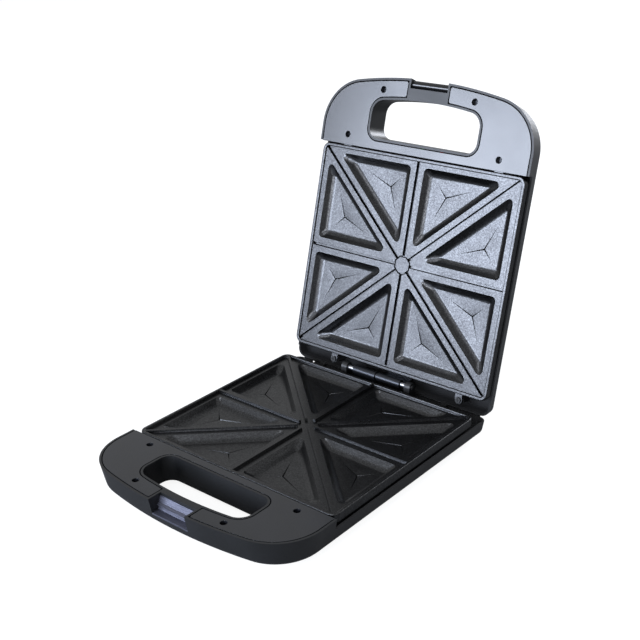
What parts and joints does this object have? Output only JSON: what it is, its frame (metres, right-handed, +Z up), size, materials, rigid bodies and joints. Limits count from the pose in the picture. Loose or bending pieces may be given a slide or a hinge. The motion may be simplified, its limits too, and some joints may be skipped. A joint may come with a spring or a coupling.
{
  "type": "sandwich toaster",
  "caption": "Countertop sandwich toaster with a hinged lid, facing non-stick plates of triangular pockets, and a carrying handle whose lower and upper halves meet at a latch.",
  "frame": {"origin": "on the surface the feet stand on, under the centre of the open toaster's bounding box", "axes": "+X to the user's right along the hinge, +Y from the handle to the hinge, +Z up"},
  "size_m": [0.256, 0.4168, 0.331],
  "materials": {
    "casing_plastic": "satin black moulded plastic",
    "panel_plastic": "semi-gloss black moulded plastic",
    "latch_plastic": "gloss black moulded plastic",
    "coated_plate": "black non-stick coating on cast aluminium",
    "black_screws": "black oxide steel",
    "zinc_screws": "zinc plated steel",
    "element_tube": "dull steel sheath",
    "ceramic": "off-white ceramic",
    "shield_steel": "pressed aluminised steel",
    "control_metal": "plain metal can",
    "terminal_plastic": "off-white plastic",
    "black_rubber": "matte black rubber",
    "bright_steel": "bright steel pin",
    "black_steel": "blackened steel strap",
    "catch_metal": "grey satin metal",
    "red_lens": "clear red lens",
    "green_lens": "clear green lens",
    "lamp_glass": "clear glass bulb"
  },
  "bodies": {
    "base": {"base_casing": "casing_plastic", "base_handle_panel": "panel_plastic", "base_handle_screws": "black_screws", "base_plate": "coated_plate", "base_plate_screws": "zinc_screws", "base_heating_element": "element_tube", "base_element_bushes": "ceramic", "base_heat_shield": "shield_steel", "base_shield_screws": "zinc_screws", "thermostat": "control_metal", "thermostat_bracket": "shield_steel", "thermal_fuse": "control_metal", "terminal_block": "terminal_plastic", "cord_inlet": "black_rubber", "hinge_pin": "bright_steel", "base_hinge_bracket": "black_steel", "base_hinge_screws": "zinc_screws", "rubber_feet": "black_rubber", "latch_catch": "catch_metal"},
    "lid": {"lid_casing": "casing_plastic", "lid_handle_panel": "panel_plastic", "lid_handle_screws": "black_screws", "lid_plate": "coated_plate", "lid_plate_screws": "zinc_screws", "lid_heating_element": "element_tube", "lid_element_bushes": "ceramic", "lid_heat_shield": "shield_steel", "lid_shield_screws": "zinc_screws", "lid_hinge_bracket": "black_steel", "lid_hinge_screws": "zinc_screws", "power_lamp_lens": "red_lens", "ready_lamp_lens": "green_lens", "neon_lamps": "lamp_glass", "latch_pin": "bright_steel"},
    "latch": {"latch_lever": "latch_plastic"}
  },
  "joints": [
    {"name": "lid_hinge", "type": "hinge", "parent": "base", "child": "lid", "pos_m": [0, 0.102, 0.032], "axis": [1, 0, 0], "range_deg": [0, 105.4]},
    {"name": "latch_pivot", "type": "hinge", "parent": "lid", "child": "latch", "pos_m": [0, 0.18862, 0.32388], "axis": [1, 0, 0], "range_deg": [0, 180]}
  ]
}
